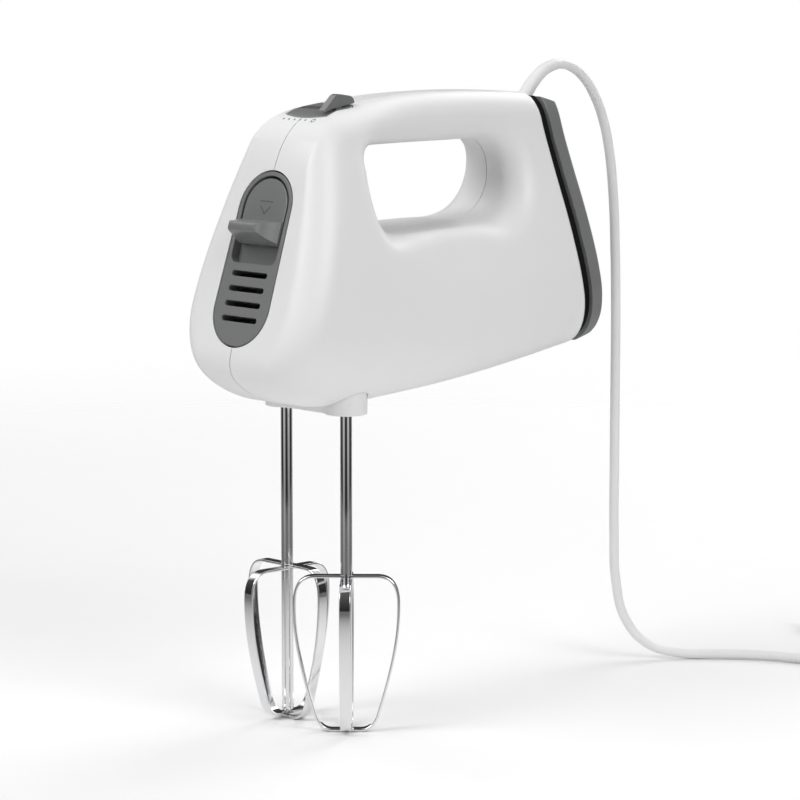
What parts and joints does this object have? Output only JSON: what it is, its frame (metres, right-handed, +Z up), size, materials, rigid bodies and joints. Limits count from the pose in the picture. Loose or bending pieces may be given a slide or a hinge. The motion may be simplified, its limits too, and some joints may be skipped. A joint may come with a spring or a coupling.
{
  "type": "hand mixer",
  "caption": "Corded hand mixer: split white housing with a through handle, speed lever, eject slider, heel plate and wire-loop beaters.",
  "frame": {"origin": "middle of the footprint, on the floor under the beaters", "axes": "+Z up, the nose towards -Y and the heel plate towards +Y, the two beaters side by side along X"},
  "size_m": [0.1775, 0.3923, 0.2927],
  "materials": {
    "white_plastic": "smooth glossy white ABS",
    "grey_plastic": "fine satin mid-grey plastic",
    "black_rubber": "matt black rubber",
    "chrome": "bright chrome plate",
    "steel": "ground steel",
    "zinc_screws": "zinc-plated",
    "copper": "enamelled copper wire and copper bars",
    "bronze": "sintered bronze and pressed brass",
    "lamination_steel": "stacked steel laminations",
    "nylon": "natural nylon",
    "carbon": "carbon",
    "circuit_board": "green laminate",
    "black_plastic": "black nylon",
    "live_wire": "brown insulation",
    "neutral_wire": "blue insulation",
    "white_cord": "smooth white PVC",
    "pin_steel": "nickel-plated"
  },
  "bodies": {
    "housing": {"front_panel": "grey_plastic", "speed_plate": "grey_plastic", "housing_left": "white_plastic", "housing_right": "white_plastic", "housing_screw_1": "zinc_screws", "housing_screw_2": "zinc_screws", "housing_screw_3": "zinc_screws", "housing_screw_4": "zinc_screws", "spindle_plate": "white_plastic", "rear_gasket": "black_rubber", "heel_plate": "grey_plastic", "heel_screw_1": "zinc_screws", "heel_screw_2": "zinc_screws", "spindle_bush_left": "bronze", "spindle_bush_right": "bronze", "stator_core": "lamination_steel", "field_coil_upper": "copper", "field_coil_lower": "copper", "front_bearing": "bronze", "rear_bearing": "bronze", "worm_end_bush": "bronze", "gearbox_base": "nylon", "gearbox_lid": "nylon", "motor_bracket": "nylon", "brush_holder_left": "bronze", "brush_left": "carbon", "brush_holder_right": "bronze", "brush_right": "carbon", "eject_spring": "steel", "speed_switch": "black_plastic", "control_board": "circuit_board", "suppressor_capacitor": "grey_plastic", "wire_live": "live_wire", "wire_neutral": "neutral_wire", "strain_relief": "white_plastic", "mains_lead": "white_cord", "lead_coil": "white_cord", "lead_tie": "black_plastic", "mains_plug": "white_cord", "plug_pin_1": "pin_steel", "plug_pin_2": "pin_steel"},
    "rotor": {"motor_shaft": "steel", "worm": "steel", "armature_core": "lamination_steel", "armature_winding_front": "copper", "armature_winding_rear": "copper", "commutator": "copper", "cooling_fan": "nylon"},
    "spindle_left": {"drive_gear_left": "nylon"},
    "spindle_right": {"drive_gear_right": "nylon"},
    "beater_left": {"beater_shaft_left": "chrome", "beater_loop_outer_left": "chrome", "beater_loop_inner_left": "chrome"},
    "beater_right": {"beater_shaft_right": "chrome", "beater_loop_outer_right": "chrome", "beater_loop_inner_right": "chrome"},
    "speed_control": {"speed_lever": "grey_plastic", "switch_slider": "black_plastic"},
    "eject_button": {"eject_slider": "grey_plastic"},
    "eject_yoke": {"ejector_yoke": "nylon"}
  },
  "joints": [
    {"name": "speed_slide", "type": "slide", "parent": "housing", "child": "speed_control", "axis": [-1, 0, 0], "range_m": [0, 0.02]},
    {"name": "eject_slide", "type": "slide", "parent": "housing", "child": "eject_button", "axis": [0, -0.3123, -0.95], "range_m": [0, 0.008], "stiffness_N_per_m": 500, "springref_m": -0.008},
    {"name": "yoke_slide", "type": "slide", "parent": "housing", "child": "eject_yoke", "axis": [0, 0, -1], "range_m": [0, 0.0076], "deforming": ["eject_spring"]},
    {"name": "motor_spin", "type": "hinge", "parent": "housing", "child": "rotor", "pos_m": [0, -0.0555, 0.179], "axis": [0, 1, 0], "continuous": true},
    {"name": "spindle_left_spin", "type": "hinge", "parent": "housing", "child": "spindle_left", "pos_m": [0.0195, -0.0555, 0.179], "axis": [0, 0, 1], "continuous": true},
    {"name": "spindle_right_spin", "type": "hinge", "parent": "housing", "child": "spindle_right", "pos_m": [-0.0195, -0.0555, 0.179], "axis": [0, 0, 1], "continuous": true},
    {"name": "beater_left_pull", "type": "slide", "parent": "spindle_left", "child": "beater_left", "axis": [0, 0, -1], "range_m": [0, 0.038]},
    {"name": "beater_right_pull", "type": "slide", "parent": "spindle_right", "child": "beater_right", "axis": [0, 0, -1], "range_m": [0, 0.038]}
  ],
  "couplings": [
    {"joint": "yoke_slide", "follows": "eject_slide", "ratio": 0.95},
    {"joint": "spindle_left_spin", "follows": "motor_spin", "ratio": 0.083333},
    {"joint": "spindle_right_spin", "follows": "motor_spin", "ratio": -0.083333}
  ]
}
